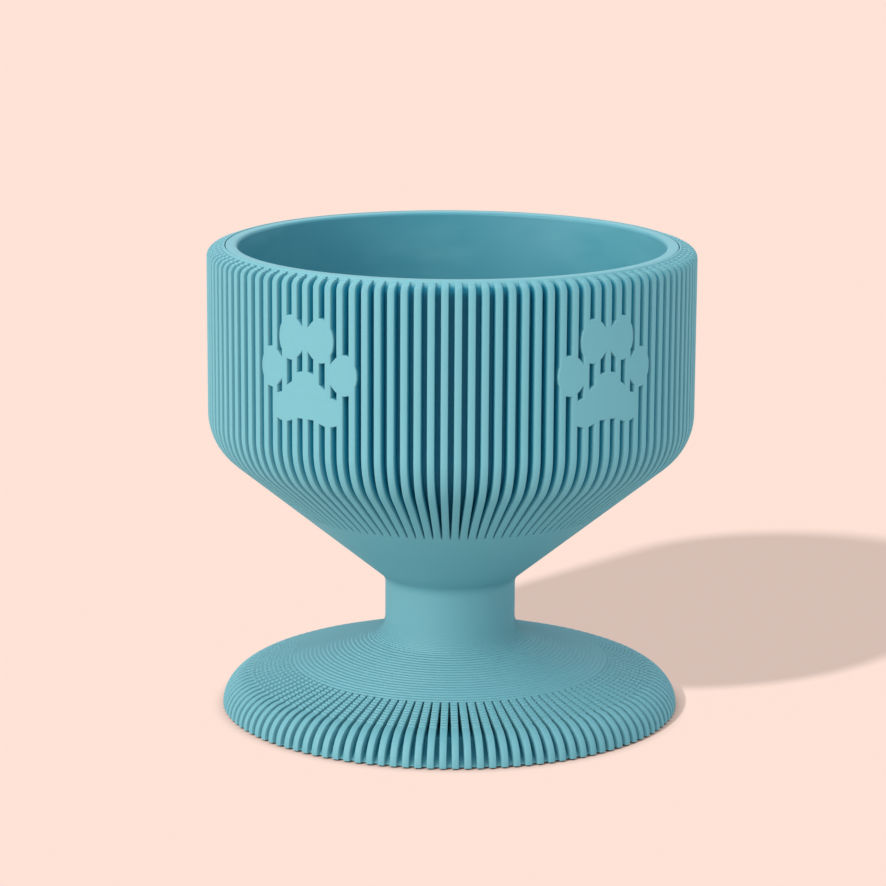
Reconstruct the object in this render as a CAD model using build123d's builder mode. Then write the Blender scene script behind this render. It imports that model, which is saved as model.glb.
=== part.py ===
"""A raised pet bowl: a finned cup with paw emblems on a finned foot, and a lift-out liner.

Millimetres, +Z up. The origin is the middle of the footprint, on the surface that the rubber
pads stand on. One fin points along -Y, and the two front paws stand evenly to its left and right.
"""

import os
from math import cos, radians, tan

from build123d import *

# ---- whole object ----------------------------------------------------------
height = 136.0  # resting surface to the top of the liner's flange
crest_radius = 70.0  # outer edge of the cup's fins
stem_radius = 18.9
neck_z = 38.4  # the cone's line and the stem's line cross here
seam_z = 36.4  # the cup's hub stands on the stem here
pad_lift = 0.5  # the rubber pads hold the foot this far off the surface

# ---- fins, shared by the cup and the foot ----------------------------------
fin_count = 120
fin_thickness = 2.0  # the same from root to crest, so the gaps between fins narrow inwards
fin_start_radius = 45.6  # further in, the gaps are too narrow to print and close up
fin_half_pitch = 180.0 / fin_count  # degrees
overshoot = 1.0  # cutting solids run past the faces that they cut
tool_reach = crest_radius + 2 * overshoot  # and end outside every fin

# ---- cup shell -------------------------------------------------------------
cone_angle = 39.0  # degrees from level
cone_slope = tan(radians(cone_angle))
cone_secant = 1.0 / cos(radians(cone_angle))
cone_round = 16.8  # fillet between the cone and the upright fins
neck_round = 4.0  # fillet between the cone and the stem
rim_slope = tan(radians(17.0))  # bevel from the flange out to the crests
rim_round = 2.5
rebate_radius = 64.9  # the liner's flange drops in here
groove_root_radius = 66.2
groove_top_height = 1.6  # the grooves' roots lean in over this height, up to the rim
groove_depth_on_cone = 3.8
groove_top_radius = rebate_radius + 0.5
shell_bore_radius = 63.2
shell_thickness = 6.8  # crest to bore, square to the cone
shell_floor_z = 56.0
shell_floor_round = 4.0
spigot_radius = 12.0
spigot_length = 6.0

# ---- paw emblems: (sideways, up, half width, half height) of each toe --------
paw_count = 5
paw_middle_z = 104.0
paw_spacing = 360.0 / paw_count
paw_crest_radius = crest_radius - 0.05
paw_root_radius = groove_root_radius - 1.0
inner_toe = (4.9, 14.6, 4.3, 6.2)
outer_toe = (12.1, 5.7, 4.1, 5.7)
pad_top = (0.0, 0.6, 5.2)  # sideways, up, radius
pad_flank = (6.3, -4.3, 3.2)
pad_lobe = (7.4, -4.8, 4.2)

# ---- liner -----------------------------------------------------------------
liner_radius = 61.2
liner_wall = 1.6
liner_gap_on_cone = 0.6  # square to the cone
flange_radius = rebate_radius - 0.25
flange_thickness = 2.0
flange_edge_round = 0.3
lip_round = 1.0
liner_bottom_z = 64.0
liner_bottom_round = 6.0
liner_floor = 2.0
bowl_round = 12.0  # inside, between the wall and the cone
bowl_floor_round = 8.0

# ---- pedestal --------------------------------------------------------------
foot_radius = 66.4
foot_edge_z = 0.8  # top of the short upright edge
foot_shoulder_width = 11.4
foot_shoulder_height = 9.3
foot_shoulder_sweep = 72.0  # degrees of the shoulder's quarter ellipse that are used
dome_top = (25.6, 19.7)  # radius and height where the dome runs into the stem's fillet
stem_root_round = 6.7
foot_groove_floor_z = 6.9
foot_groove_slope_start = 58.0  # the groove's floor is flat inside this radius
foot_groove_edge_radius = 65.2
socket_clearance = 0.2

# ---- hardware: M6 screw from below, washer, heat-set insert, cover, pads ------
screw_radius = 3.0
screw_length = 35.0
screw_hole_radius = 3.3
head_radius = 5.0
head_height = 6.0
hex_key_radius = 2.9  # across corners, halved
hex_key_depth = 3.0
head_chamfer = 0.5
screw_tip_chamfer = 0.6
washer_radius = 6.0
washer_thickness = 1.6
screw_seat_z = 22.0
counterbore_radius = 7.5
insert_radius = 4.4
insert_length = 12.0
insert_slip = 0.02  # the insert's radius is this much less than its hole's
insert_bore_radius = screw_radius + 0.05
insert_waist_depth = 0.6
insert_waist_length = 2.0
cover_radius = 13.0
cover_thickness = 2.0
cover_chamfer = 0.4
cover_neck_length = 4.0
cover_neck_play = 0.1
cover_neck_wall = 1.6
pad_count = 4
grip_pad_radius = 6.0
grip_pad_height = 2.5
grip_pad_round = 0.3
grip_pad_circle = 52.0


def cone_z(radius, depth=0.0):
    """Height of the cup's cone at a radius, at a depth square to its outer face."""
    return neck_z + (radius - stem_radius) * cone_slope + depth * cone_secant


def cone_radius(z, depth=0.0):
    """Radius of the cup's cone at a height, at a depth square to its outer face."""
    return stem_radius + (z - neck_z - depth * cone_secant) / cone_slope


def gap_half_width(radius):
    """Half of the gap between two neighbouring fins at a radius."""
    return radius * tan(radians(fin_half_pitch)) - fin_thickness / 2 / cos(radians(fin_half_pitch))


# The plan of one gap between fins, shared by both sets of grooves.
gap_plan = [
    (fin_start_radius, -gap_half_width(fin_start_radius)),
    (tool_reach, -gap_half_width(tool_reach)),
    (tool_reach, gap_half_width(tool_reach)),
    (fin_start_radius, gap_half_width(fin_start_radius)),
]

# ---- cup groove: the solid between two fins ----------------------------------
with BuildPart(mode=Mode.PRIVATE) as cup_groove:
    with BuildSketch(Plane.XZ):
        with BuildLine():
            root_corner = (groove_root_radius, cone_z(groove_root_radius, groove_depth_on_cone))
            root = FilletPolyline(
                (fin_start_radius, cone_z(fin_start_radius, groove_depth_on_cone)),
                root_corner,
                (groove_root_radius, height - groove_top_height),
                radius=cone_round - groove_depth_on_cone,
            )
            Polyline(
                root @ 1,
                (groove_top_radius, height),
                (tool_reach, height + overshoot),
                (tool_reach, cone_z(fin_start_radius) - overshoot),
                (fin_start_radius, cone_z(fin_start_radius) - overshoot),
                root @ 0,
            )
        make_face()
    extrude(amount=fin_thickness, both=True)
    with BuildSketch(Plane.XY):
        Polygon(*gap_plan, align=None)
    extrude(amount=height + 2 * overshoot, mode=Mode.INTERSECT)

# ---- one paw emblem, as tall as the band of fins that it fills -----------------
with BuildPart(mode=Mode.PRIVATE) as paw:
    with BuildSketch(Plane(origin=(0, 0, paw_middle_z), x_dir=(0, 1, 0), z_dir=(1, 0, 0))):
        for across, up, half_width, half_height in (inner_toe, outer_toe):
            with Locations((across, up), (-across, up)):
                Ellipse(half_width, half_height)
        with BuildSketch(mode=Mode.PRIVATE) as pad_body:
            with Locations(pad_top[:2]):
                Circle(pad_top[2])
            with Locations(pad_flank[:2], (-pad_flank[0], pad_flank[1])):
                Circle(pad_flank[2])
        add(make_hull(pad_body.sketch.edges(), mode=Mode.PRIVATE))
        with Locations(pad_lobe[:2], (-pad_lobe[0], pad_lobe[1])):
            Circle(pad_lobe[2])
    extrude(amount=tool_reach)
    with BuildSketch(Plane.XY.offset(cone_z(crest_radius))):
        Circle(paw_crest_radius)
        Circle(paw_root_radius, mode=Mode.SUBTRACT)
    extrude(amount=height - cone_z(crest_radius), mode=Mode.INTERSECT)

# ---- cup shell -----------------------------------------------------------------
with BuildPart() as cup_shell:
    with BuildSketch(Plane.XZ):
        with BuildLine():
            outside = FilletPolyline(
                (stem_radius, seam_z),
                (stem_radius, neck_z),
                (crest_radius, cone_z(crest_radius)),
                (crest_radius, height - (crest_radius - rebate_radius) * rim_slope),
                (rebate_radius, height),
                radius=(neck_round, cone_round, rim_round),
            )
            inside = FilletPolyline(
                (shell_bore_radius, height - flange_thickness),
                (shell_bore_radius, cone_z(shell_bore_radius, shell_thickness)),
                (cone_radius(shell_floor_z, shell_thickness), shell_floor_z),
                (0, shell_floor_z),
                radius=(cone_round - shell_thickness, shell_floor_round),
            )
            Polyline(outside @ 1, (rebate_radius, height - flange_thickness), inside @ 0)
            Polyline(
                inside @ 1,
                (0, seam_z - spigot_length),
                (spigot_radius, seam_z - spigot_length),
                (spigot_radius, seam_z),
                outside @ 0,
            )
        make_face()
    revolve(axis=Axis.Z)
    with PolarLocations(0, fin_count, start_angle=fin_half_pitch):
        add(cup_groove.part, mode=Mode.SUBTRACT)
    with PolarLocations(0, paw_count, start_angle=-90 + paw_spacing / 2):
        add(paw.part)
    with BuildSketch(Plane.XY.offset(seam_z - spigot_length)):
        Circle(screw_hole_radius)
    extrude(amount=shell_floor_z - seam_z + spigot_length, mode=Mode.SUBTRACT)
    with BuildSketch(Plane.XY.offset(shell_floor_z - insert_length)):
        Circle(insert_radius)
    extrude(amount=insert_length, mode=Mode.SUBTRACT)
cup_shell.part.label = "cup_shell"

# ---- bowl liner: smooth, hangs in the cup by its flange ------------------------
liner_depth = shell_thickness + liner_gap_on_cone  # of its outer face, square to the cone
liner_inner_depth = liner_depth + liner_wall
liner_outer_radius = liner_radius + liner_wall
with BuildPart() as bowl_liner:
    with BuildSketch(Plane.XZ):
        with BuildLine():
            underside = FilletPolyline(
                (0, liner_bottom_z),
                (cone_radius(liner_bottom_z, liner_depth), liner_bottom_z),
                (liner_outer_radius, cone_z(liner_outer_radius, liner_depth)),
                (liner_outer_radius, height - flange_thickness),
                radius=(liner_bottom_round, cone_round - liner_depth),
            )
            bowl_floor_z = liner_bottom_z + liner_floor
            topside = FilletPolyline(
                (flange_radius, height - flange_thickness),
                (flange_radius, height),
                (liner_radius, height),
                (liner_radius, cone_z(liner_radius, liner_inner_depth)),
                (cone_radius(bowl_floor_z, liner_inner_depth), bowl_floor_z),
                (0, bowl_floor_z),
                radius=(flange_edge_round, lip_round, bowl_round, bowl_floor_round),
            )
            Line(underside @ 1, topside @ 0)
            Line(topside @ 1, underside @ 0)
        make_face()
    revolve(axis=Axis.Z)
bowl_liner.part.label = "bowl_liner"

# ---- foot groove ---------------------------------------------------------------
with BuildPart(mode=Mode.PRIVATE) as foot_groove:
    with BuildSketch(Plane.XZ):
        with BuildLine():
            Polyline(
                (fin_start_radius, foot_groove_floor_z),
                (foot_groove_slope_start, foot_groove_floor_z),
                (foot_groove_edge_radius, foot_edge_z),
                (foot_groove_edge_radius, -overshoot),
                (tool_reach, -overshoot),
                (tool_reach, dome_top[1]),
                (fin_start_radius, dome_top[1]),
                close=True,
            )
        make_face()
    extrude(amount=fin_thickness, both=True)
    with BuildSketch(Plane.XY.offset(-2 * overshoot)):
        Polygon(*gap_plan, align=None)
    extrude(amount=dome_top[1] + 4 * overshoot, mode=Mode.INTERSECT)

# ---- pedestal: domed foot and stem in one piece ----------------------------------
with BuildPart() as pedestal:
    with BuildSketch(Plane.XZ):
        with BuildLine():
            edge = Line((foot_radius, pad_lift), (foot_radius, foot_edge_z))
            shoulder = EllipticalCenterArc(
                (foot_radius - foot_shoulder_width, foot_edge_z),
                foot_shoulder_width,
                foot_shoulder_height,
                start_angle=0,
                arc_size=foot_shoulder_sweep,
            )
            dome_slope = (dome_top[1] - (shoulder @ 1).Y) / (dome_top[0] - (shoulder @ 1).X)
            stem = FilletPolyline(
                shoulder @ 1,
                (stem_radius, dome_top[1] + (stem_radius - dome_top[0]) * dome_slope),
                (stem_radius, seam_z),
                radius=stem_root_round,
            )
            Polyline(stem @ 1, (0, seam_z), (0, pad_lift), edge @ 0)
        make_face()
    revolve(axis=Axis.Z)
    with PolarLocations(0, fin_count, start_angle=fin_half_pitch):
        add(foot_groove.part, mode=Mode.SUBTRACT)
    with BuildSketch(Plane.XY.offset(seam_z)):
        Circle(spigot_radius + socket_clearance)
    extrude(amount=-(spigot_length + socket_clearance), mode=Mode.SUBTRACT)
    with BuildSketch(Plane.XY.offset(seam_z)):
        Circle(screw_hole_radius)
    extrude(amount=-seam_z, mode=Mode.SUBTRACT)
    with BuildSketch(Plane.XY):
        Circle(counterbore_radius)
    extrude(amount=screw_seat_z, mode=Mode.SUBTRACT)
    with BuildSketch(Plane.XY):
        Circle(cover_radius + socket_clearance)
        with PolarLocations(grip_pad_circle, pad_count):
            Circle(grip_pad_radius + socket_clearance)
    extrude(amount=grip_pad_height, mode=Mode.SUBTRACT)
pedestal.part.label = "pedestal"

# ---- clamp screw: socket head, up from below ---------------------------------------
head_top_z = screw_seat_z - washer_thickness
with BuildPart() as clamp_screw:
    with BuildSketch(Plane.XY.offset(head_top_z - head_height)):
        Circle(head_radius)
    extrude(amount=head_height)
    head_rim = clamp_screw.edges().group_by(Axis.Z)[0]
    chamfer(head_rim, head_chamfer)
    with BuildSketch(Plane.XY.offset(head_top_z - head_height)):
        RegularPolygon(hex_key_radius, 6)
    extrude(amount=hex_key_depth, mode=Mode.SUBTRACT)
    with BuildSketch(Plane.XY.offset(head_top_z)):
        Circle(screw_radius)
    extrude(amount=screw_length)
    chamfer(clamp_screw.edges().group_by(Axis.Z)[-1], screw_tip_chamfer)
clamp_screw.part.label = "clamp_screw"

# ---- washer --------------------------------------------------------------------------
with BuildPart() as screw_washer:
    with BuildSketch(Plane.XY.offset(head_top_z)):
        Circle(washer_radius)
        Circle(screw_hole_radius, mode=Mode.SUBTRACT)
    extrude(amount=washer_thickness)
screw_washer.part.label = "screw_washer"

# ---- heat-set insert: a brass nut with a waist, melted into the hub from above ---------
with BuildPart() as threaded_insert:
    with BuildSketch(Plane.XY.offset(shell_floor_z - insert_length)):
        Circle(insert_radius - insert_slip)
        Circle(insert_bore_radius, mode=Mode.SUBTRACT)
    extrude(amount=insert_length)
    with BuildSketch(Plane.XY.offset(shell_floor_z - (insert_length + insert_waist_length) / 2)):
        Circle(insert_radius)
        Circle(insert_radius - insert_waist_depth, mode=Mode.SUBTRACT)
    extrude(amount=insert_waist_length, mode=Mode.SUBTRACT)
threaded_insert.part.label = "threaded_insert"

# ---- screw cover: a push-in disc with a neck in the counterbore --------------------------
with BuildPart() as screw_cover:
    with BuildSketch(Plane.XY.offset(grip_pad_height - cover_thickness)):
        Circle(cover_radius)
    extrude(amount=cover_thickness)
    chamfer(screw_cover.edges().group_by(Axis.Z)[0], cover_chamfer)
    with BuildSketch(Plane.XY.offset(grip_pad_height)):
        Circle(counterbore_radius - cover_neck_play)
        Circle(counterbore_radius - cover_neck_play - cover_neck_wall, mode=Mode.SUBTRACT)
    extrude(amount=cover_neck_length)
screw_cover.part.label = "screw_cover"

# ---- rubber pads ---------------------------------------------------------------------------
grip_pads = []
for position in PolarLocations(grip_pad_circle, pad_count).locations:
    with BuildPart() as grip_pad:
        with BuildSketch():
            with Locations(position.position):
                Circle(grip_pad_radius)
        extrude(amount=grip_pad_height)
        fillet(grip_pad.edges().group_by(Axis.Z)[0], grip_pad_round)
    grip_pad.part.label = f"grip_pad_{len(grip_pads) + 1}"
    grip_pads.append(grip_pad)

# ---- files -----------------------------------------------------------------------------------
pieces = [cup_shell, bowl_liner, pedestal, clamp_screw, screw_washer, threaded_insert, screw_cover]
os.makedirs("parts", exist_ok=True)
for piece in pieces + grip_pads:
    export_step(piece.part, f"parts/{piece.part.label}.step")
    size = piece.part.bounding_box().size
    print(f"{piece.part.label:16s} {piece.part.volume / 1000:8.2f} cm3  {size.X:.1f} x {size.Y:.1f} x {size.Z:.1f}")
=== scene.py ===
# %% [markdown]
# # A raised pet bowl in printed plastic
#
# The bowl has a finned cup with paw emblems, a smooth liner that lifts out of it, and a domed
# foot with the same fins. The CAD model says where every part is and how large it is. This
# script dresses that model: it builds the cup, the liner and the foot again as finer meshes, with
# rounded fins and the small steps that a printer leaves on a gentle slope, and gives every part
# a procedural material.

# %% The frame
from math import atan, cos, degrees, floor as floor_down, pi, radians, sin, sqrt, tan

import bmesh
import bpy
from mathutils import Matrix, Vector


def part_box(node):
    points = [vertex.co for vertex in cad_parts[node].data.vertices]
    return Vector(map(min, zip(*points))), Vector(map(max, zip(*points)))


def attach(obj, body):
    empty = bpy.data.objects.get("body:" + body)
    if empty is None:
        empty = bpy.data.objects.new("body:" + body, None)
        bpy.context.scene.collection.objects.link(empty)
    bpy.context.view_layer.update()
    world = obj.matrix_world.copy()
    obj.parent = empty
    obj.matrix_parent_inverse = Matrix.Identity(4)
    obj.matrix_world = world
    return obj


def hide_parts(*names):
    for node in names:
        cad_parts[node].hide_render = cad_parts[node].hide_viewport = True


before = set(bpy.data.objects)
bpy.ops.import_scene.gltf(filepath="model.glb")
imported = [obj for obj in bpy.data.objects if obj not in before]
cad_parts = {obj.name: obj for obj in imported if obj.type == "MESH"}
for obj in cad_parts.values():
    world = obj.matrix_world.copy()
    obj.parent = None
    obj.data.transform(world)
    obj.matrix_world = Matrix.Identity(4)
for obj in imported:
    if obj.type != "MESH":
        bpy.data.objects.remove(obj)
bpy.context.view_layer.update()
scene = bpy.context.scene
MM = 0.001


def placed(name, data):
    """A new object at the origin, with its shape in its data, put into the scene."""
    made = bpy.data.objects.new(name, data)
    scene.collection.objects.link(made)
    return made


print(f"{len(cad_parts)} CAD parts")

# %% [markdown]
# ## Sizes
#
# The main sizes are read from the CAD parts, so the meshes can't drift away from them. The rest
# are the cup's own proportions, in millimetres, with the values that the CAD source has.

# %% Sizes from the frame, in millimetres
foot_low, foot_high = (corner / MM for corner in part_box("pedestal"))
bowl_low, bowl_high = (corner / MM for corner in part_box("bowl_liner"))
insert_low, insert_high = (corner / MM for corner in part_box("threaded_insert"))
pad_low, pad_high = (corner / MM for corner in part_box("grip_pad_1"))

crest_radius, _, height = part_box("cup_shell")[1] / MM
cover_radius = (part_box("screw_cover")[1] / MM).x
seam_z = foot_high.z
foot_radius = foot_high.x
foot_bottom = foot_low.z
print(f"cup {2 * crest_radius:.1f} mm wide, {height:.1f} mm tall; foot {2 * foot_radius:.1f} mm wide")

# %% Proportions of the fins, the cup and the foot, in millimetres
fin_count = 120
fin_thickness = 2.0
fin_edge_round = 0.38
fin_start_radius = 45.6
layer_height = 0.37

stem_radius = 18.9
neck_z = 38.4  # where the lines of the stem and the cone cross
neck_round = 4.0
cone_angle = radians(39)
cone_slope = tan(cone_angle)
cone_secant = 1 / cos(cone_angle)
cone_round = 16.8
rim_angle = radians(17)
rim_slope = tan(rim_angle)
rim_round = 2.5
rebate_radius = 64.9
groove_root_radius = 66.2
groove_top_radius = rebate_radius + 0.5
groove_top_height = 1.6  # the roots lean in over this height, up to the rim
groove_depth_on_cone = 3.8
shell_bore_radius = 63.2
shell_thickness = 6.8
flange_thickness = 2.0
spigot_radius = 12.0
screw_hole_radius = 3.3

foot_edge_z = 0.8
shoulder_width = 11.4
shoulder_height = 9.3

liner_radius = 61.2
lip_round = 1.0
print(f"{fin_count} fins, {fin_thickness} mm thick, {360 / fin_count:.0f} degrees apart")

# %% [markdown]
# ## Camera
#
# A product picture of a small object is taken from about a metre away with a long lens, so its
# upright sides stay nearly parallel. The camera looks down on the rim by twelve degrees. It stands
# a little to the left of the fin that points to the front, and leans a third of a degree.

# %% Camera
camera_distance = 940.5 * MM
camera_height = 282.7 * MM
camera_lens = 135.2
camera_turn = radians(-1.5)
camera_pitch = radians(12.3)
camera_aim_left = radians(0.14)
camera_roll = radians(0.3)

camera = placed("camera", bpy.data.cameras.new("camera"))
camera.data.lens = camera_lens
camera.data.sensor_width = 36
stand_point = Matrix.Rotation(camera_turn, 3, "Z") @ Vector((0, -camera_distance, camera_height))
aim = Matrix.Rotation(camera_turn + camera_aim_left, 4, "Z")
tilt = Matrix.Rotation(pi / 2 - camera_pitch, 4, "X")
roll = Matrix.Rotation(camera_roll, 4, "Z")
camera.matrix_world = Matrix.Translation(stand_point) @ aim @ tilt @ roll
scene.camera = camera
print(f"the camera is {stand_point.length:.2f} m from the middle of the foot")

# %% [markdown]
# ## Light and floor
#
# The bowl stands in soft light: an even, slightly cool sky fills the shadows, one large warm
# source from the left and the front shapes the form, and a faint one above lifts the rim. The
# paper on the floor is lit apart from it. It glows with the colour that paper has in shadow, and
# a sun that is linked to the floor alone adds the rest, so that the bowl casts one clear shadow
# and no horizon shows behind it. An ambient occlusion node darkens the paper only where the foot
# nearly touches it.

# %% Sky
backdrop = (0.99, 0.76, 0.67)
sky_fill = (0.80, 0.90, 0.95)

scene.view_settings.view_transform = "Standard"

world = bpy.data.worlds.new("studio")
scene.world = world
world.use_nodes = True
sky = world.node_tree
sky.nodes.clear()
sky_light = sky.nodes.new("ShaderNodeBackground")
sky_light.inputs["Color"].default_value = (*sky_fill, 1)
sky_seen = sky.nodes.new("ShaderNodeBackground")
sky_seen.inputs["Color"].default_value = (*backdrop, 1)
sky_choice = sky.nodes.new("ShaderNodeMixShader")
sky_path = sky.nodes.new("ShaderNodeLightPath")
sky_output = sky.nodes.new("ShaderNodeOutputWorld")
sky.links.new(sky_path.outputs["Is Camera Ray"], sky_choice.inputs[0])
sky.links.new(sky_light.outputs[0], sky_choice.inputs[1])
sky.links.new(sky_seen.outputs[0], sky_choice.inputs[2])
sky.links.new(sky_choice.outputs[0], sky_output.inputs[0])
print(f"the sky fills with {sky_fill} and shows {backdrop}")

# %% Three suns
def sun_light(name, azimuth, elevation, disc, brightness, colour):
    """A sun whose brightness is what it adds to white paper that faces it."""
    light = placed(name, bpy.data.lights.new(name, "SUN"))
    light.data.energy = pi * brightness
    light.data.angle = radians(disc)
    light.data.color = colour
    across, up = cos(radians(elevation)), sin(radians(elevation))
    towards = Vector((cos(radians(azimuth)) * across, sin(radians(azimuth)) * across, up))
    light.rotation_euler = towards.to_track_quat("Z", "Y").to_euler()
    print(f"{name}: {elevation} degrees up, {disc} degrees wide")
    return light


white = (1, 1, 1)
key_colour = (1.0, 0.894, 0.817)
sun_light("soft_key", azimuth=-138, elevation=28, disc=50, brightness=0.77, colour=key_colour)
sun_light("soft_top", azimuth=-90, elevation=80, disc=60, brightness=0.10, colour=white)

shadow_share = 0.32  # how much of the paper's brightness the floor's sun adds
paper_response = 0.004
floor_elevation = 36
floor_brightness = shadow_share / paper_response / sin(radians(floor_elevation))
floor_sun = sun_light("floor_sun", -132, floor_elevation, 3, floor_brightness, white)

# %% The paper on the floor
floor_half = 6.0
floor_mesh = bpy.data.meshes.new("floor")
floor_corners = [(x * floor_half, y * floor_half, 0) for x, y in ((-1, -1), (1, -1), (1, 1), (-1, 1))]
floor_mesh.from_pydata(floor_corners, [], [(0, 1, 2, 3)])
floor = placed("floor", floor_mesh)
lit_only = bpy.data.collections.new("lit by the floor's sun")
lit_only.objects.link(floor)
floor_sun.light_linking.receiver_collection = lit_only

floor_bounce = (0.40, 0.50, 0.52)
contact_reach = 4.0 * MM
paper = bpy.data.materials.new("floor paper")
paper.use_nodes = True
paper_nodes = paper.node_tree.nodes
paper_shader = paper_nodes["Principled BSDF"]
paper_shader.inputs["Base Color"].default_value = (*[part * paper_response for part in backdrop], 1)
paper_shader.inputs["Roughness"].default_value = 1.0
paper_shader.inputs["Specular IOR Level"].default_value = 0.0
paper_shader.inputs["Emission Strength"].default_value = 1.0
contact = paper_nodes.new("ShaderNodeAmbientOcclusion")
contact.inputs["Color"].default_value = (*[part * (1 - shadow_share) for part in backdrop], 1)
contact.inputs["Distance"].default_value = contact_reach
paper_path = paper_nodes.new("ShaderNodeLightPath")
paper_seen = paper_nodes.new("ShaderNodeMix")
paper_seen.data_type = "RGBA"
paper_seen.inputs[6].default_value = (*floor_bounce, 1)
paper.node_tree.links.new(paper_path.outputs["Is Camera Ray"], paper_seen.inputs[0])
paper.node_tree.links.new(contact.outputs["Color"], paper_seen.inputs[7])
paper.node_tree.links.new(paper_seen.outputs[2], paper_shader.inputs["Emission Color"])
floor_mesh.materials.append(paper)
print(f"paper {2 * floor_half:.0f} m wide, darker within {contact_reach / MM:.0f} mm of the foot")

# %% [markdown]
# ## Shader arithmetic
#
# A pattern is easier to read as a formula than as a web of nodes. This small class wraps a socket,
# so that an expression such as `1 - mask * 0.5` adds the Math nodes that it needs. Any other node
# comes from `Paint.node`, which takes the node's settings first and then its sockets.

# %% Shader arithmetic
class Value:
    """A number that changes over the surface: one output socket of a material's tree."""

    def __init__(self, paint, socket):
        self.paint = paint
        self.socket = socket

    def maths(self, operation, *inputs):
        return self.paint.node("ShaderNodeMath", {"operation": operation}, dict(enumerate(inputs)))

    def __add__(self, other):
        return self.maths("ADD", self, other)

    def __radd__(self, other):
        return self.maths("ADD", other, self)

    def __sub__(self, other):
        return self.maths("SUBTRACT", self, other)

    def __rsub__(self, other):
        return self.maths("SUBTRACT", other, self)

    def __mul__(self, other):
        return self.maths("MULTIPLY", self, other)

    def __rmul__(self, other):
        return self.maths("MULTIPLY", other, self)

    def __truediv__(self, other):
        return self.maths("DIVIDE", self, other)

    def __pow__(self, other):
        return self.maths("POWER", self, other)

    def smaller(self, other, blend):
        """The smaller of two values, with the crease between them rounded over the blend."""
        return self.maths("SMOOTH_MIN", self, other, blend)

    def at_least(self, least):
        return self.maths("MAXIMUM", self, least)

    def around(self, middle, spread):
        """A value from 0 to 1 made into one that keeps within half the spread of the middle."""
        return (self - 0.5) * spread + middle

    def ramp(self, start, end):
        """0 up to the start, 1 from the end on, and smooth between them."""
        settings = {"interpolation_type": "SMOOTHSTEP"}
        inputs = {"Value": self, "From Min": start, "From Max": end}
        return self.paint.node("ShaderNodeMapRange", settings, inputs)


class Paint:
    """One material, with the shortest way to add a node to it."""

    def __init__(self, name, **sockets):
        self.material = bpy.data.materials.new(name)
        self.material.use_nodes = True
        self.tree = self.material.node_tree
        self.shader = self.tree.nodes["Principled BSDF"]
        for socket, value in sockets.items():
            self.set(socket.replace("_", " "), value)

    def node(self, kind, settings=None, inputs=None, output=0):
        made = self.tree.nodes.new(kind)
        for setting, value in (settings or {}).items():
            setattr(made, setting, value)
        for key, value in (inputs or {}).items():
            self.feed(made.inputs[key], value)
        return Value(self, made.outputs[output])

    def feed(self, socket, value):
        if isinstance(value, Value):
            self.tree.links.new(value.socket, socket)
        else:
            socket.default_value = value

    def set(self, socket, value):
        self.feed(self.shader.inputs[socket], value)

    def place(self):
        return self.node("ShaderNodeTexCoord", output="Object")

    def radius_and_height(self):
        """How far a point is from the Z axis, and its z, both in millimetres."""
        parts = self.node("ShaderNodeSeparateXYZ", {}, {0: self.place()}).socket.node.outputs
        x, y, z = (Value(self, part) * (1 / MM) for part in parts)
        return (x * x + y * y) ** 0.5, z

    def stretched(self, scale):
        """Object coordinates with each axis scaled, so that a noise can run in bands."""
        return self.node("ShaderNodeMapping", {}, {"Vector": self.place(), "Scale": scale})

    def noise(self, scale, detail, stretch=(1, 1, 1)):
        inputs = {"Vector": self.stretched(stretch), "Scale": scale, "Detail": detail}
        return self.node("ShaderNodeTexNoise", {}, inputs)

    def mix(self, share, first, second):
        """From the first colour, where the share is 0, to the second, where it is 1."""
        inputs = {0: share, 6: first, 7: second}
        return self.node("ShaderNodeMix", {"data_type": "RGBA"}, inputs, output=2)

    def height(self, value, distance):
        """The value as a bump, with distance the height in metres of a value of 1."""
        self.set("Normal", self.node("ShaderNodeBump", {}, {"Height": value, "Distance": distance}))

# %% [markdown]
# ## Printed plastic
#
# The cup and the foot are printed in matte teal plastic. Up close such a print is never one flat
# colour: each layer is laid down a little wider or narrower than the last, which shows as fine
# bands, and the surface between them has a soft grain. The bands are one noise squeezed along Z
# until a period is one layer high. They drive the bump, and very slightly the colour.
#
# Between the fins, where light bounces from wall to wall, shade makes the colour deeper and darker,
# and so it does inside the bowl. A path tracer gives a part of that shade. The rest is painted
# shade: in the grooves it grows with the depth under the crests, which is worked out from the same
# outlines as the shape: for the cup the nearest of its wall, its cone and its rim, and for the foot
# a quarter of an ellipse. Inside the bowl it covers the whole inner face.

# %% Printed teal plastic
def printed_plastic(name, dark, light, roughness, band_depth, overlays=()):
    """Layered plastic. An overlay is the share of another colour, from 0 to 1, and that colour; the
    overlays used here are painted shade and the neck's own tone.
    """
    paint = Paint(name, Specular_IOR_Level=0.45)
    bands = paint.noise(1.0, detail=1.0, stretch=(9, 9, 1 / (layer_height * MM)))
    grain = paint.noise(1500, detail=3.0)
    cloud = paint.noise(45, detail=2.0)
    shade = bands * 0.35 + grain * 0.25 + cloud * 0.4
    colour = paint.mix(shade, (*dark, 1), (*light, 1))
    for share, over in overlays:
        colour = paint.mix(share(paint), colour, (*over, 1))
    paint.set("Base Color", colour)
    paint.set("Roughness", grain.around(roughness, spread=0.12))
    paint.height(bands + grain * 0.35, band_depth * MM)
    print(f"{name}: {len(paint.tree.nodes)} nodes, {len(overlays)} overlays")
    return paint.material


# %% Depth under the crests, in millimetres
cone_crease = 9.8  # these blends round the creases between the outlines as the fillets do
rim_crease = 1.5
deepest_groove = 4.4
hidden_depth = 4.8


def painted_groove_shade(depth_under_crests, start, end):
    """The share of painted groove shade: 0 at the start depth, 1 from the end on, and 0 on the hidden
    faces deeper than a groove.
    """
    def share(paint):
        depth = depth_under_crests(paint)
        return depth.ramp(start, end) * (1 - depth.ramp(deepest_groove, hidden_depth))
    return share


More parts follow.
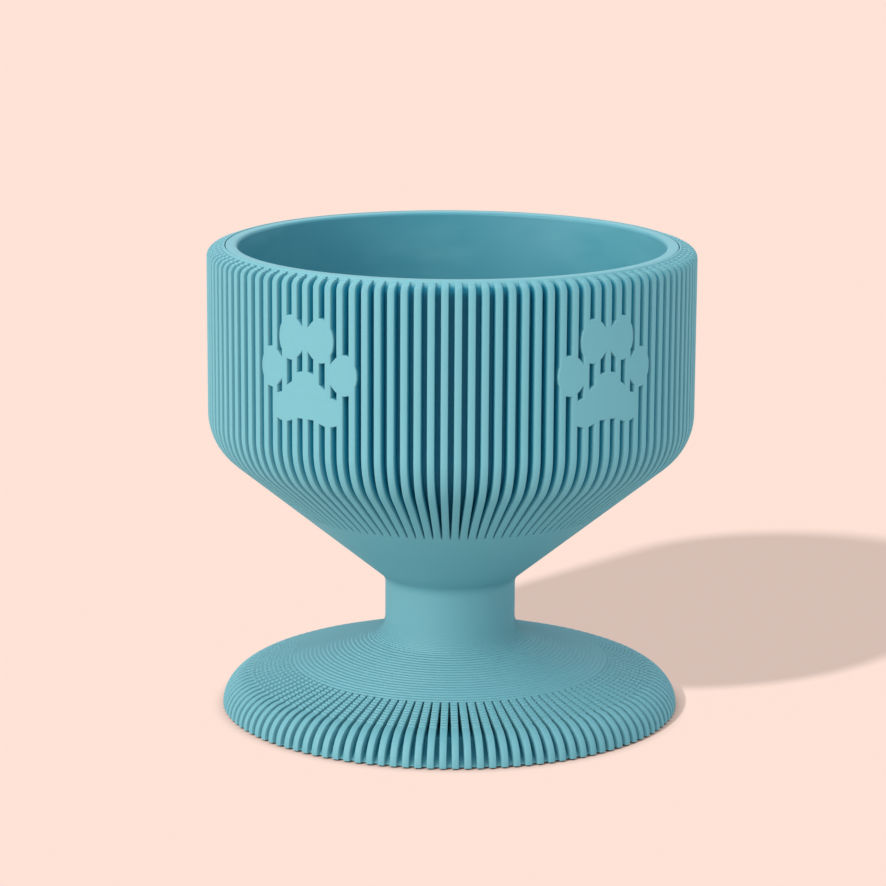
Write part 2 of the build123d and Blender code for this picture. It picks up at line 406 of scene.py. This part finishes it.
def depth_in_cup(paint):
    radius, z = paint.radius_and_height()
    under_wall = crest_radius - radius
    under_cone = (z - neck_z - (radius - stem_radius) * cone_slope) / cone_secant
    under_rim = height - z - (radius - rebate_radius) * rim_slope
    return under_wall.smaller(under_cone, cone_crease).smaller(under_rim, rim_crease)


def depth_in_foot(paint):
    """No depth on the flat underside, so that the painted groove shade leaves no ring below the
    foot's edge.
    """
    radius, z = paint.radius_and_height()
    across = (radius - (foot_radius - shoulder_width)).at_least(0) / shoulder_width
    up = (z - foot_edge_z).at_least(0) / shoulder_height
    depth = (1 - (across * across + up * up) ** 0.5) * shoulder_height
    return depth * z.ramp(foot_bottom, foot_edge_z)


# %% The neck's own tone, and painted shade inside the bowl
neck_blend = 5.0


def near_neck(paint):
    """The bottom of the cup has the tone of the stem that it is screwed to."""
    z = paint.radius_and_height()[1]
    return 1 - z.ramp(neck_z, neck_z + neck_blend)


def painted_bowl_shade(paint):
    """Painted shade over the whole inside of the bowl, a little mottled, up to the round lip under
    the rim.
    """
    radius = paint.radius_and_height()[0]
    cloud = paint.noise(28, detail=3.0, stretch=(1, 1, 2.5))
    return (1 - radius.ramp(liner_radius, liner_radius + lip_round)) * (cloud * 1.2 + 0.3)


# %% The four printed finishes
fin_teal = (0.138, 0.378, 0.434)
fin_teal_light = (0.168, 0.422, 0.48)
foot_teal = (0.115, 0.332, 0.387)
foot_teal_light = (0.14, 0.371, 0.427)
neck_teal = (0.127, 0.352, 0.407)
# painted groove shade: the fins' flanks and roots and the foot's groove floors get these deeper,
# darker teals
flank_shade_teal = (0.02, 0.33, 0.46)
root_shade_teal = (0.0, 0.19, 0.30)
foot_groove_shade_teal = (0.02, 0.26, 0.35)
# painted shade inside the bowl
bowl_shade_teal = (0.055, 0.265, 0.34)

cup_tone_and_shade = [
    (near_neck, neck_teal),
    (painted_groove_shade(depth_in_cup, start=0.3, end=1.6), flank_shade_teal),
    (painted_groove_shade(depth_in_cup, start=2.0, end=3.8), root_shade_teal),
]
foot_shade_overlays = [(painted_groove_shade(depth_in_foot, start=0.4, end=3.2), foot_groove_shade_teal)]
bowl_shade_overlays = [(painted_bowl_shade, bowl_shade_teal)]
cup_print = printed_plastic("cup print", fin_teal, fin_teal_light, 0.58, 0.035, cup_tone_and_shade)
foot_print = printed_plastic("foot print", foot_teal, foot_teal_light, 0.58, 0.035, foot_shade_overlays)
liner_print = printed_plastic("liner print", fin_teal, fin_teal_light, 0.45, 0.014, bowl_shade_overlays)
cover_print = printed_plastic("cover print", foot_teal, foot_teal_light, 0.55, 0.03)

# %% [markdown]
# ## Rubber and metal
#
# The pads are moulded rubber: nearly black, dull, with dust in the grain. The screw, its washer
# and the brass insert are hidden when the bowl is whole, but the model can be taken apart, so they
# are finished too: metal is a colour that reflects, broken up by the marks of turning, which run
# round the Z axis.

# %% Steel, brass and rubber
def turned_metal(name, colour, roughness):
    paint = Paint(name, Metallic=1.0)
    turning = paint.noise(1.0, detail=2.0, stretch=(300, 300, 9000))
    stain = paint.noise(160, detail=3.0)
    stained = [part * 0.72 for part in colour]
    paint.set("Base Color", paint.mix(stain * 0.5, (*colour, 1), (*stained, 1)))
    paint.set("Roughness", turning.around(0, spread=0.16) + stain.around(roughness, spread=0.1))
    paint.height(turning, 0.01 * MM)
    return paint.material


def moulded_rubber(name, clean, dusty, roughness):
    paint = Paint(name, Specular_IOR_Level=0.35)
    grain = paint.noise(2600, detail=3.0)
    dust = paint.noise(210, detail=4.0)
    paint.set("Base Color", paint.mix(dust, (*clean, 1), (*dusty, 1)))
    paint.set("Roughness", grain.around(roughness, spread=0.2))
    paint.height(grain, 0.03 * MM)
    return paint.material


zinc_steel = turned_metal("zinc-plated steel", (0.60, 0.61, 0.62), 0.30)
turned_brass = turned_metal("turned brass", (0.78, 0.57, 0.25), 0.27)
pad_rubber = moulded_rubber("pad rubber", (0.018, 0.018, 0.019), (0.05, 0.048, 0.045), 0.78)
print(", ".join(material.name for material in (zinc_steel, turned_brass, pad_rubber)))

# %% [markdown]
# ## One fin, and then a ring of them
#
# Every fin is the same, so only a three-degree slice of the cup is drawn: one fin with half a
# groove on each side. The slice is a stack of rows, each at one height. A row across the fin has
# eleven points: five from the middle of a groove up the flank and round the edge, the crest, and
# five down again. Where the groove has no depth, points fall on each other and are welded later. A
# plain row has three. Rows with as many points each are joined by quads, others by triangles.

# %% Rows of a slice, in millimetres
half_pitch = pi / fin_count


def on_circle(radius, angle, z):
    return Vector((radius * cos(angle), radius * sin(angle), z))


def fin_row(z, crest, root):
    """Across one fin at one height, from the middle of one groove to the middle of the next."""
    half = fin_thickness / 2
    edge = min(fin_edge_round, crest - root)
    flank = sqrt(crest**2 - half**2)
    cut = edge * (1 - cos(pi / 4))
    side = [
        (sqrt(root**2 - half**2), half),
        (flank - edge, half),
        (flank - cut, half - cut),
        (sqrt(crest**2 - (half - edge) ** 2), half - edge),
    ]
    left = [on_circle(root, -half_pitch, z)] + [Vector((x, -y, z)) for x, y in side]
    right = [Vector((x, y, z)) for x, y in reversed(side)] + [on_circle(root, half_pitch, z)]
    return left + [Vector((crest, 0, z))] + right


def plain_row(z, radius):
    return [on_circle(radius, step * half_pitch, z) for step in (-1, 0, 1)]


def joined(first, second):
    """Faces between two rows, given as (points, index of the first point)."""
    (upper, a), (lower, b) = first, second
    if len(upper) == len(lower):
        return [(a + i, b + i, b + i + 1, a + i + 1) for i in range(len(upper) - 1)]
    faces = []
    i = j = 0
    while i < len(upper) - 1 or j < len(lower) - 1:
        share_i = (i + 1) / (len(upper) - 1)
        share_j = (j + 1) / (len(lower) - 1)
        if share_i <= share_j:
            faces.append((a + i, b + j, a + i + 1))
            i += 1
        else:
            faces.append((a + i, b + j, b + j + 1))
            j += 1
    return faces


def slice_object(name, rows):
    """One slice of a ring, from rows that go all the way round its section."""
    points, faces, starts = [], [], []
    for row in rows:
        starts.append(len(points))
        points += [point * MM for point in row]
    for here in range(len(rows)):
        there = (here + 1) % len(rows)
        faces += joined((rows[here], starts[here]), (rows[there], starts[there]))
    mesh = bpy.data.meshes.new(name)
    mesh.from_pydata(points, [], faces)
    print(f"{name}: {len(rows)} rows, {len(faces)} faces in a slice")
    return placed(name, mesh)


# %% [markdown]
# Geometry Nodes turn the slice into a ring: a line of points, all on the axis, carries one copy
# on each, and the copy's turn is its index times a full turn over the count. The same tree sets
# the paws and the pad pockets round the axis, so it takes a first angle and a material as well.

# %% The ring tree
ring_tree = bpy.data.node_groups.new("ring of copies", "GeometryNodeTree")
ring_tree.interface.new_socket(name="Geometry", in_out="INPUT", socket_type="NodeSocketGeometry")
for name, kind in (("Count", "Int"), ("First angle", "Float"), ("Material", "Material")):
    ring_tree.interface.new_socket(name=name, in_out="INPUT", socket_type=f"NodeSocket{kind}")
ring_tree.interface.new_socket(name="Geometry", in_out="OUTPUT", socket_type="NodeSocketGeometry")


def ring_node(kind, inputs=None, **settings):
    made = ring_tree.nodes.new(kind)
    for setting, value in settings.items():
        setattr(made, setting, value)
    for key, value in (inputs or {}).items():
        if isinstance(value, bpy.types.NodeSocket):
            ring_tree.links.new(value, made.inputs[key])
        else:
            made.inputs[key].default_value = value
    return made


def ring_maths(operation, first, second):
    return ring_node("ShaderNodeMath", {0: first, 1: second}, operation=operation).outputs[0]


ring_input = ring_node("NodeGroupInput")
count = ring_input.outputs["Count"]
axis_points = ring_node("GeometryNodeMeshLine", {"Count": count, "Offset": (0, 0, 0)})
point_index = ring_node("GeometryNodeInputIndex")
share_of_turn = ring_maths("DIVIDE", point_index.outputs[0], count)
turn = ring_maths("MULTIPLY", share_of_turn, 2 * pi)
angle = ring_maths("ADD", turn, ring_input.outputs["First angle"])
rotation = ring_node("FunctionNodeAxisAngleToRotation", {"Axis": (0, 0, 1), "Angle": angle})
copies = ring_node(
    "GeometryNodeInstanceOnPoints",
    {
        "Points": axis_points.outputs[0],
        "Instance": ring_input.outputs["Geometry"],
        "Rotation": rotation.outputs[0],
    },
)
real_copies = ring_node("GeometryNodeRealizeInstances", {"Geometry": copies.outputs[0]})
painted = ring_node(
    "GeometryNodeSetMaterial",
    {"Geometry": real_copies.outputs[0], "Material": ring_input.outputs["Material"]},
)
ring_node("NodeGroupOutput", {0: painted.outputs[0]})
print(f"{ring_tree.name}: {len(ring_tree.nodes)} nodes")


# %% Using the ring tree
def plain_mesh(piece):
    """Replaces an object's mesh by what its modifiers make of it, and removes them."""
    graph = bpy.context.evaluated_depsgraph_get()
    mesh = bpy.data.meshes.new_from_object(piece.evaluated_get(graph), depsgraph=graph)
    piece.modifiers.clear()
    piece.data = mesh
    return piece


def ring(piece, count, material, first_angle=0.0):
    """Copies a piece round the Z axis and joins the copies into one mesh."""
    modifier = piece.modifiers.new("ring", "NODES")
    modifier.node_group = ring_tree
    inputs = [item for item in ring_tree.interface.items_tree if item.in_out == "INPUT"]
    sockets = {item.name: item.identifier for item in inputs}
    modifier[sockets["Count"]] = count
    modifier[sockets["First angle"]] = first_angle
    modifier[sockets["Material"]] = material
    return plain_mesh(piece)


# %% Closing, counting and shading a mesh
weld_distance = 0.0005 * MM
sharp_angle = radians(35)  # edges over this angle stay crisp


def welded(piece):
    """Joins the copies where they meet, and turns every face outwards."""
    work = bmesh.new()
    work.from_mesh(piece.data)
    bmesh.ops.remove_doubles(work, verts=work.verts, dist=weld_distance)
    bmesh.ops.dissolve_degenerate(work, edges=work.edges, dist=weld_distance)
    bmesh.ops.delete(work, geom=[edge for edge in work.edges if not edge.link_faces], context="EDGES")
    bmesh.ops.recalc_face_normals(work, faces=work.faces)
    work.to_mesh(piece.data)
    work.free()
    return piece


def counted(piece):
    """Prints how many triangles a piece has and whether its surface is closed."""
    work = bmesh.new()
    work.from_mesh(piece.data)
    open_edges = sum(not edge.is_manifold for edge in work.edges)
    triangles = sum(len(face.verts) - 2 for face in work.faces)
    volume = work.calc_volume() / (10 * MM) ** 3
    print(f"{piece.name}: {triangles} triangles, {open_edges} open edges, {volume:.1f} cm3")
    work.free()
    return piece


def finished(piece, material):
    """Smooth shading between crisp edges, and one material."""
    counted(piece)
    piece.data.shade_smooth()
    piece.data.set_sharp_from_angle(angle=sharp_angle)
    piece.data.materials.clear()
    piece.data.materials.append(material)
    return piece

# %% [markdown]
# ## The cup's outline
#
# The section of the cup is three lines of the same kind: the fins' crests, the grooves' roots and
# the bore. Each runs straight down, then turns through a rounding into the cone. One function
# gives such a line's radius at a height. The rim is a bevel that runs into the crests through a
# small rounding of its own.

# %% Radii of the cup at a height
cone_turn = (pi / 2 - cone_angle) / 2  # half of the turn from the wall into the cone


def cone_z(radius, depth=0.0):
    return neck_z + (radius - stem_radius) * cone_slope + depth * cone_secant


def cone_radius(z, depth=0.0):
    return stem_radius + (z - neck_z - depth * cone_secant) / cone_slope


def rounding_ends(upright, depth, rounding):
    """The heights between which an upright wall turns into the cone, the upper one first."""
    corner = cone_z(upright, depth)
    reach = rounding * tan(cone_turn)
    return corner + reach, corner - reach * sin(cone_angle)


def wall_radius(z, upright, depth, rounding):
    """An upright wall that turns into the cone, which lies depth inside the outer cone."""
    top, bottom = rounding_ends(upright, depth, rounding)
    if z >= top:
        return upright
    if z > bottom:
        return upright - rounding + sqrt(rounding**2 - (top - z) ** 2)
    return cone_radius(z, depth)


rim_corner_z = height - (crest_radius - rebate_radius) * rim_slope
rim_start_z = rim_corner_z - rim_round * tan((pi / 2 - rim_angle) / 2)


def rim_radius(z):
    """The bevelled and rounded shoulder above the upright part of the fins."""
    if z <= rim_start_z:
        return crest_radius
    if z < rim_start_z + rim_round * cos(rim_angle):
        return crest_radius - rim_round + sqrt(rim_round**2 - (z - rim_start_z) ** 2)
    return rebate_radius + (height - z) / rim_slope


groove_round = cone_round - groove_depth_on_cone
groove_top_z = height - groove_top_height
groove_top_slope = (groove_root_radius - groove_top_radius) / groove_top_height


def groove_root(z):
    root = wall_radius(z, groove_root_radius, groove_depth_on_cone, groove_round)
    root -= max(0, z - groove_top_z) * groove_top_slope
    return max(root, fin_start_radius)


print(f"the rim's rounding starts {height - rim_start_z:.1f} mm below the top")


# %% [markdown]
# A printer can't make a gentle slope: it makes a stair, one layer high. The steps are real
# geometry here, because they catch the light as rings on the rim and on the foot. The bead of
# plastic that makes a layer has a round edge, so a step's riser leans, and a layer has two rows
# with slightly different radii.

# %% Stairs
def spaced(first, last, count):
    """Evenly spaced values, with both ends."""
    return [first + (last - first) * i / (count - 1) for i in range(count)]


riser_lean = 0.22  # 0 is an upright riser, 1 is a slope without steps


def layers(top, bottom, outline):
    """(z, radius) of the top and the bottom of each printed layer, down an outline."""
    count = max(1, round((top - bottom) / layer_height))
    edges = spaced(top, bottom, count + 1)
    rows = []
    for upper, lower in zip(edges, edges[1:]):
        middle = outline((upper + lower) / 2)
        rows += [(z, middle + (outline(z) - middle) * riser_lean) for z in (upper, lower)]
    return rows


def arc(centre, radius, first, last, count):
    """(radius, z) points of an arc in the section, angles in degrees from outwards, up positive."""
    x, z = centre
    angles = [radians(angle) for angle in spaced(first, last, count)]
    return [(x + radius * cos(angle), z + radius * sin(angle)) for angle in angles]


print(f"a rim of {len(layers(height, rim_start_z, rim_radius)) // 2} printed layers")

# %% The cup's finned rows
wall_row_z = rim_start_z - 8.0
cone_row_z = 70.0
crest_end_z = cone_z(fin_start_radius)
root_end_z = cone_z(fin_start_radius, groove_depth_on_cone)
heights = [wall_row_z, *spaced(*rounding_ends(crest_radius, 0, cone_round), 11), cone_row_z]
heights += spaced(root_end_z, crest_end_z, 3)

crest_outline = layers(height, rim_start_z, rim_radius)
crest_outline += [(z, wall_radius(z, crest_radius, 0, cone_round)) for z in heights]
cup_rows = [fin_row(z, crest, min(groove_root(z), crest)) for z, crest in crest_outline]

# %% The cup's plain rows
plain_cone_radii = (fin_start_radius - 0.6, 32.0)
neck_centre = (stem_radius + neck_round, neck_z - neck_round * tan(cone_turn))
spigot_length = 6.0
hub_bottom_z = seam_z - spigot_length
insert_radius = 4.4
shell_floor_z = insert_high.z
floor_corner_height = 1.5
floor_corner_width = 3.0
floor_corner_z = shell_floor_z + floor_corner_height
floor_corner_radius = cone_radius(floor_corner_z, shell_thickness)
bore_wall = (shell_bore_radius, shell_thickness, cone_round - shell_thickness)
bore_corner_z = cone_z(shell_bore_radius, shell_thickness)
bore_turn_below = 3.0  # the bore's rounding runs this far past the corner, down and up
bore_turn_above = 4.8

plain_section = [(radius, cone_z(radius)) for radius in plain_cone_radii]
plain_section += arc(neck_centre, neck_round, 90 + degrees(cone_angle), 180, 7)
plain_section += [
    (stem_radius, seam_z),
    (spigot_radius, seam_z),
    (spigot_radius, hub_bottom_z),
    (screw_hole_radius, hub_bottom_z),
    (screw_hole_radius, insert_low.z),
    (insert_radius, insert_low.z),
    (insert_radius, shell_floor_z),
    (floor_corner_radius - floor_corner_width, shell_floor_z),
    (floor_corner_radius, floor_corner_z),
]
bore_heights = spaced(bore_corner_z - bore_turn_below, bore_corner_z + bore_turn_above, 8)
plain_section += [(wall_radius(z, *bore_wall), z) for z in bore_heights]
plain_section += [
    (shell_bore_radius, height - flange_thickness),
    (rebate_radius, height - flange_thickness),
    (rebate_radius, height),
]
cup_rows += [plain_row(z, radius) for radius, z in plain_section]
cup = counted(welded(ring(slice_object("ribbed_cup", cup_rows), fin_count, cup_print)))

# %% [markdown]
# ## Paw emblems
#
# A paw is where the grooves are filled level with the crests. The fins run on through it, so its
# outline is seen only in the grooves, and it steps from one groove to the next. The paw is drawn
# flat, as seven rounded outlines: four toes, the pad and its two lobes. Each groove cuts a strip out
# of an outline, and the strip is made a little wider, to end on the flat crests of the two fins.
# The strips are bent onto the cup, copied five times and joined to the fins by booleans, so that
# the edges are as crisp as printed ones.

# %% Flat outlines, as points (across, up) in millimetres
def ellipse(across, up, half_width, half_height, count=64):
    angles = [2 * pi * i / count for i in range(count)]
    return [(across + half_width * cos(angle), up + half_height * sin(angle)) for angle in angles]


def circle(across, up, radius):
    return ellipse(across, up, radius, radius)


def hull_of(points):
    """The convex outline round some points, anticlockwise."""
    chain = []
    for order in (sorted(points), sorted(points, reverse=True)):
        side = []
        for point in order:
            while len(side) > 1 and turns_right(side[-2], side[-1], point):
                side.pop()
            side.append(point)
        chain += side[:-1]
    return chain


def turns_right(first, second, third):
    before = second[0] - first[0], second[1] - first[1]
    after = third[0] - second[0], third[1] - second[1]
    return before[0] * after[1] - before[1] * after[0] <= 0


# %% Strips of an outline, one for each groove
strip_bevel = 0.2
strip_overlap = 0.2  # onto the flat part of the crests
fin_pitch = 2 * half_pitch * crest_radius
half_gap = (fin_pitch - fin_thickness) / 2
half_strip = half_gap + fin_edge_round + strip_bevel + strip_overlap
print(f"gaps of {2 * half_gap:.2f} mm, strips of {2 * half_strip:.2f} mm")


def crossings(outline, across):
    """Where a convex outline crosses an upright line."""
    found = []
    for (x1, y1), (x2, y2) in zip(outline, outline[1:] + outline[:1]):
        if (x1 - across) * (x2 - across) < 0:
            found.append(y1 + (y2 - y1) * (across - x1) / (x2 - x1))
    return found


def strips(outline):
    """The parts of a convex outline in each groove, widened onto the fins on both sides."""
    widths = [across for across, up in outline]
    first, last = floor_down(min(widths) / fin_pitch), floor_down(max(widths) / fin_pitch)
    for groove in range(first, last + 1):
        middle = (groove + 0.5) * fin_pitch
        inside = [point for point in outline if abs(point[0] - middle) < half_gap]
        for side in (-1, 1):
            edge = crossings(outline, middle + side * half_gap)
            inside += [(middle + side * half_strip, up) for up in edge]
        if len(inside) > 2:
            yield inside


# %% Plates, bent onto the cup
paw_middle_z = 104.0
paw_surface_radius = crest_radius + 0.01  # a hair over the crests, so that the booleans are clean
paw_root_radius = 65.0  # inside the grooves' roots
flat_angle = radians(1)
on_surface = 0.0001


def mesh_from(work, name):
    """The mesh made by a bmesh, which is freed."""
    mesh = bpy.data.meshes.new(name)
    work.to_mesh(mesh)
    work.free()
    return mesh


def plate(points):
    """A convex plate round some points, with its outer edge bevelled, bent onto the cup."""
    work = bmesh.new()
    for depth in (paw_surface_radius - paw_root_radius, 0):
        for across, up in points:
            work.verts.new((-depth, across, up))
    hull = bmesh.ops.convex_hull(work, input=work.verts)
    bmesh.ops.delete(work, geom=hull["geom_interior"], context="VERTS")
    bmesh.ops.dissolve_limit(work, angle_limit=flat_angle, verts=work.verts, edges=work.edges)
    outer = [edge for edge in work.edges if all(abs(end.co.x) < on_surface for end in edge.verts)]
    bmesh.ops.bevel(work, geom=outer, offset=strip_bevel, segments=1, affect="EDGES")
    for vertex in work.verts:
        out, across, up = vertex.co
        turn = across / crest_radius
        vertex.co = on_circle(paw_surface_radius + out, turn, up + paw_middle_z) * MM
    bmesh.ops.triangulate(work, faces=work.faces)
    return mesh_from(work, "plate")


def plates(outline):
    """One object with the plates of all of an outline's strips."""
    work = bmesh.new()
    for strip in strips(outline):
        work.from_mesh(plate(strip))
    return placed("plates", mesh_from(work, "plates"))


def combined(piece, other, operation):
    """A boolean of two closed meshes; the second is used up."""
    modifier = piece.modifiers.new("join", "BOOLEAN")
    modifier.operation = operation
    modifier.solver = "MANIFOLD"
    modifier.object = other
    plain_mesh(piece)
    bpy.data.objects.remove(other)
    return piece


# %% Toes, pad and lobes of a paw, joined to the cup
paw_count = 5
inner_toe = (4.9, 14.6, 4.3, 6.2)
outer_toe = (12.1, 5.7, 4.1, 5.7)
pad_top = (0.0, 0.6, 5.2)
pad_flank = (6.3, -4.3, 3.2)
pad_lobe = (7.4, -4.8, 4.2)


def mirrored(shape):
    return (-shape[0], *shape[1:])


toes = (inner_toe, mirrored(inner_toe), outer_toe, mirrored(outer_toe))
outlines = [ellipse(*toe) for toe in toes]
outlines.append(hull_of(circle(*pad_top) + circle(*pad_flank) + circle(*mirrored(pad_flank))))
outlines += [circle(*pad_lobe), circle(*mirrored(pad_lobe))]
first_paw_angle = -pi / 2 + pi / paw_count
for outline in outlines:
    combined(cup, ring(plates(outline), paw_count, cup_print, first_paw_angle), "UNION")
finished(cup, cup_print)

# %% [markdown]
# ## The foot
#
# The foot's section goes down the stem, round a fillet, over a shallow dome and round a shoulder
# that is most of a quarter of an ellipse. The dome is printed in visible steps. Its grooves are
# deep on top, and their floor slopes down to the edge, so that the light reaches it only there.

# %% Radii of the foot at a height
shoulder_sweep = radians(72)  # of the ellipse's quarter
dome_top_radius = 25.6
dome_top_z = 19.7
stem_root_round = 6.7
groove_floor_z = 6.9
groove_slope_start = 58.0
groove_edge_radius = 65.2

shoulder_z = foot_edge_z + shoulder_height * sin(shoulder_sweep)
shoulder_radius = foot_radius - shoulder_width * (1 - cos(shoulder_sweep))
dome_slope = (dome_top_z - shoulder_z) / (shoulder_radius - dome_top_radius)
dome_angle = atan(dome_slope)
stem_corner_z = dome_top_z + (dome_top_radius - stem_radius) * dome_slope
stem_reach = stem_root_round * tan((pi / 2 - dome_angle) / 2)
stem_round_top_z = stem_corner_z + stem_reach
stem_round_end_z = stem_corner_z - stem_reach * sin(dome_angle)
print(f"the dome slopes {degrees(dome_angle):.1f} degrees")


def foot_crest(z):
    if z >= stem_round_top_z:
        return stem_radius
    if z > stem_round_end_z:
        across = sqrt(stem_root_round**2 - (stem_round_top_z - z) ** 2)
        return stem_radius + stem_root_round - across
    if z > shoulder_z:
        return shoulder_radius - (z - shoulder_z) / dome_slope
    share = max(0, z - foot_edge_z) / shoulder_height
    return foot_radius - shoulder_width * (1 - sqrt(1 - share**2))


def foot_root(z):
    if z > groove_floor_z:
        return fin_start_radius
    share = max(0, z - foot_edge_z) / (groove_floor_z - foot_edge_z)
    return groove_edge_radius - share * (groove_edge_radius - groove_slope_start)


# %% The foot's rows from the stem to the edge
foot_rows = [plain_row(seam_z, stem_radius), plain_row(stem_round_top_z, stem_radius)]
for z, crest in layers(stem_round_top_z, shoulder_z, foot_crest):
    finned = crest > fin_start_radius + fin_edge_round
    foot_rows.append(fin_row(z, crest, foot_root(z)) if finned else plain_row(z, crest))

just_over = 0.02
heights = spaced(shoulder_z, groove_floor_z + just_over, 6)[1:]
heights += [*spaced(groove_floor_z, foot_edge_z, 10), foot_bottom]
foot_rows += [fin_row(z, foot_crest(z), foot_root(z)) for z in heights]

# %% The foot's underside and its bore
play = 0.2
underside_radius = groove_edge_radius - 2.0
cover_recess_radius = cover_radius + play
counterbore_radius = 7.5
screw_seat_z = 22.0
pad_top_z = pad_high.z
hidden_section = [
    (underside_radius, foot_bottom),
    (cover_recess_radius, foot_bottom),
    (cover_recess_radius, pad_top_z),
    (counterbore_radius, pad_top_z),
    (counterbore_radius, screw_seat_z),
    (screw_hole_radius, screw_seat_z),
    (screw_hole_radius, hub_bottom_z - play),
    (spigot_radius + play, hub_bottom_z - play),
    (spigot_radius + play, seam_z),
]
foot_rows += [plain_row(z, radius) for radius, z in hidden_section]
foot = counted(welded(ring(slice_object("domed_foot", foot_rows), fin_count, foot_print)))

# %% Pockets for the pads
pad_count = 4
pocket_sides = 48
pocket_overshoot = 1.0
pocket_radius = (pad_high.y - pad_low.y) / 2 + play
pocket_outline = ellipse((pad_low.x + pad_high.x) / 2, 0, pocket_radius, pocket_radius, pocket_sides)
pocket = bmesh.new()
for z in (foot_bottom - pocket_overshoot, pad_top_z):
    for x, y in pocket_outline:
        pocket.verts.new(Vector((x, y, z)) * MM)
bmesh.ops.convex_hull(pocket, input=pocket.verts)
pockets = ring(placed("pocket", mesh_from(pocket, "pocket")), pad_count, foot_print)
finished(combined(foot, pockets, "DIFFERENCE"), foot_print)

# %% [markdown]
# ## The liner
#
# The liner is a plain turned shell: a flange on top, a rounded lip, an upright wall, and a cone
# down to a flat floor. It is smooth, so it is one slice with plain rows, in the same ring.

# %% The liner's outline
liner_wall = 1.6
liner_floor = 2.0
gap_on_cone = 0.6
liner_outer_depth = shell_thickness + gap_on_cone
liner_inner_depth = liner_outer_depth + liner_wall
liner_outer_round = cone_round - liner_outer_depth
liner_inner_round = 12.0
bowl_bottom_z = bowl_low.z
bowl_floor_z = bowl_bottom_z + liner_floor
bowl_floor_round = 8.0
bowl_bottom_round = 6.0
flange_radius = bowl_high.x
flange_edge = 0.3
flange_low_z = height - flange_thickness


def bowl_run(upright, depth, rounding, floor_z, floor_round, count=12):
    """A section line from an upright wall, round into the cone and round onto a flat floor."""
    turn = spaced(*rounding_ends(upright, depth, rounding), count)
    run = [(wall_radius(z, upright, depth, rounding), z) for z in turn]
    floor_corner = cone_radius(floor_z, depth)
    centre = (floor_corner - floor_round * tan(cone_angle / 2), floor_z + floor_round)
    return run + arc(centre, floor_round, -90 + degrees(cone_angle), -90, count) + [(0, floor_z)]


# %% The liner
inside = (liner_radius, liner_inner_depth, liner_inner_round, bowl_floor_z, bowl_floor_round)
outer_radius = liner_radius + liner_wall
outside = (outer_radius, liner_outer_depth, liner_outer_round, bowl_bottom_z, bowl_bottom_round)
liner_section = [
    *arc((flange_radius - flange_edge, height - flange_edge), flange_edge, 0, 90, 4),
    *arc((liner_radius + lip_round, height - lip_round), lip_round, 90, 180, 8),
    *bowl_run(*inside),
    *reversed(bowl_run(*outside)),
    (outer_radius, flange_low_z),
    (flange_radius, flange_low_z),
]
liner_rows = [plain_row(z, radius) for radius, z in liner_section]
liner = welded(ring(slice_object("smooth_liner", liner_rows), fin_count, liner_print))
finished(liner, liner_print)

# %% [markdown]
# ## Dressing the CAD's own small parts
#
# The screw, its washer, the brass insert, the cover and the four pads keep their CAD meshes. Each
# only gets its finished material.

# %% Materials of the small parts
finishes = {
    "clamp_screw": zinc_steel,
    "screw_washer": zinc_steel,
    "threaded_insert": turned_brass,
    "screw_cover": cover_print,
}
finishes.update({f"grip_pad_{number + 1}": pad_rubber for number in range(pad_count)})
for name, finish in finishes.items():
    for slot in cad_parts[name].material_slots:
        slot.material = finish
    print(f"{name}: {finish.name}")

# %% [markdown]
# ## Handing over
#
# Each finished piece is tied to the body it moves with, and stands in for the CAD part that it
# dresses.

# %% Bodies, parts and slots
for piece, body, part, slot in (
    (cup, "stand", "cup_shell", "ribbed_print"),
    (foot, "stand", "pedestal", "ribbed_print"),
    (liner, "liner", "bowl_liner", "liner_print"),
):
    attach(piece, body)
    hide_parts(part)
